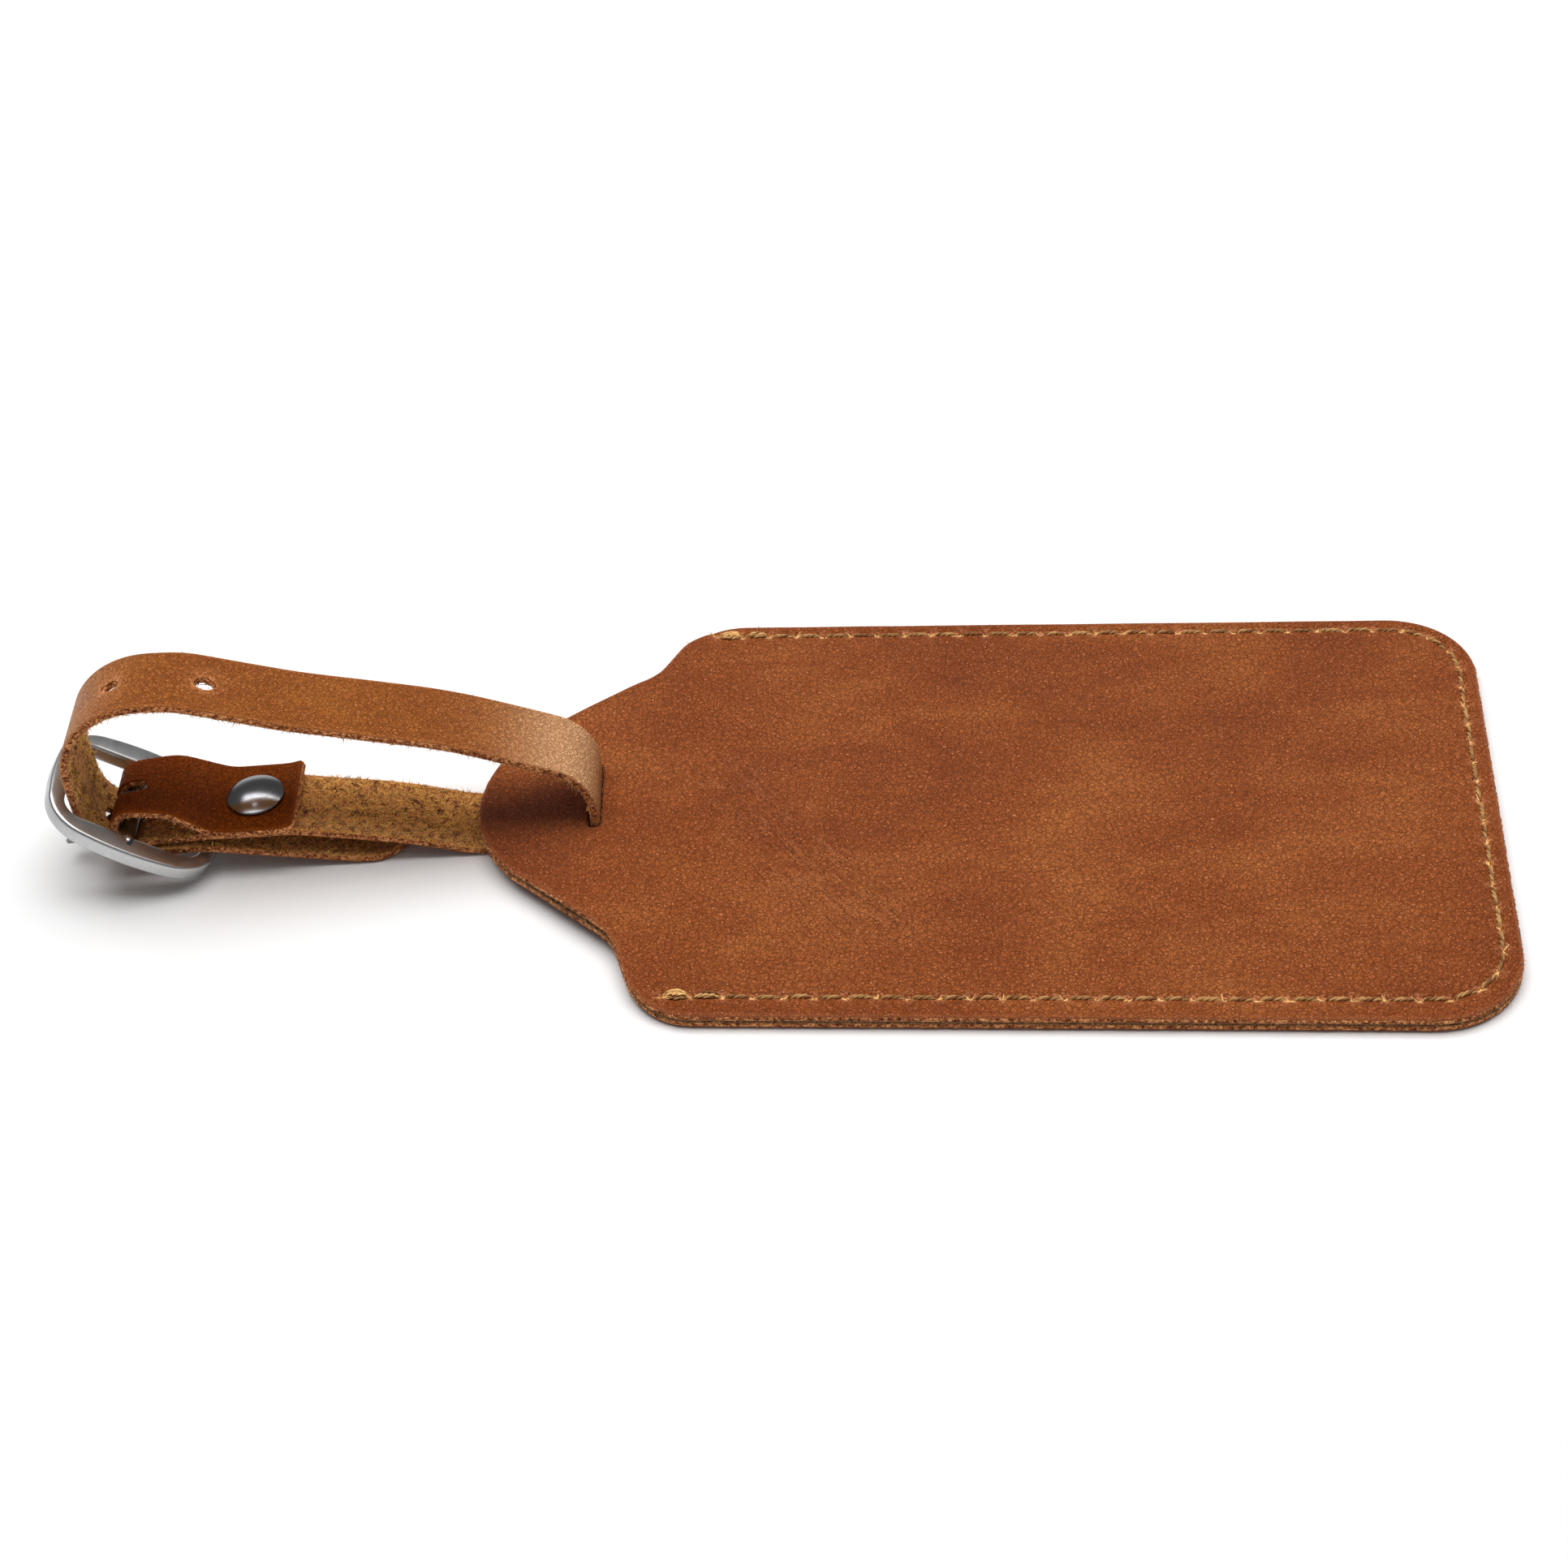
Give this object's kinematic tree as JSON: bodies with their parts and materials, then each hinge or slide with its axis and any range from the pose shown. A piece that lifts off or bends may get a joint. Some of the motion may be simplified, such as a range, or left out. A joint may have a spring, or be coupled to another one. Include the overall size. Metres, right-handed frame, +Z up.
{
  "type": "luggage tag",
  "caption": "Leather luggage tag: stitched pocket panels with a card window and a buckled strap looped through the neck slot.",
  "frame": {"origin": "centre of the bounding box in plan, on the surface the tag lies on", "axes": "+X along the tag from the strap loop towards the wide end, +Y across it, +Z up, out of the front panel"},
  "size_m": [0.1776, 0.0708, 0.0279],
  "materials": {
    "front_leather": "waxed, fine grain",
    "back_leather": "waxed, fine grain",
    "strap_leather": "waxed, suede inside",
    "thread": "waxed twist",
    "film": "clear flexible film",
    "card": "plain card stock",
    "nickel": "brushed nickel plate",
    "rivet": "polished nickel"
  },
  "bodies": {
    "tag": {"front_panel": "front_leather", "back_panel": "back_leather", "window_film": "film", "needle_thread": "thread", "bobbin_thread": "thread"},
    "card": {"address_card": "card"},
    "strap": {"strap": "strap_leather", "rivet_cap": "rivet", "rivet_base": "rivet"},
    "buckle": {"buckle_frame": "nickel"},
    "prong": {"buckle_prong": "nickel"}
  },
  "joints": [
    {"name": "card_slide", "type": "slide", "parent": "tag", "child": "card", "axis": [-1, 0, 0], "range_m": [0, 0.008]},
    {"name": "strap_swing", "type": "hinge", "parent": "tag", "child": "strap", "pos_m": [-0.02157, 0, 0.0024], "axis": [0, 0, 1], "range_deg": [-4, 4]},
    {"name": "buckle_rock", "type": "hinge", "parent": "strap", "child": "buckle", "pos_m": [-0.07871, -0.0055, 0.0076], "axis": [-0.0958, 0.9954, 0], "range_deg": [-1, 1.5]},
    {"name": "prong_pivot", "type": "hinge", "parent": "strap", "child": "prong", "pos_m": [-0.07871, -0.0055, 0.0076], "axis": [-0.0958, 0.9954, 0], "range_deg": [0, 8]}
  ]
}
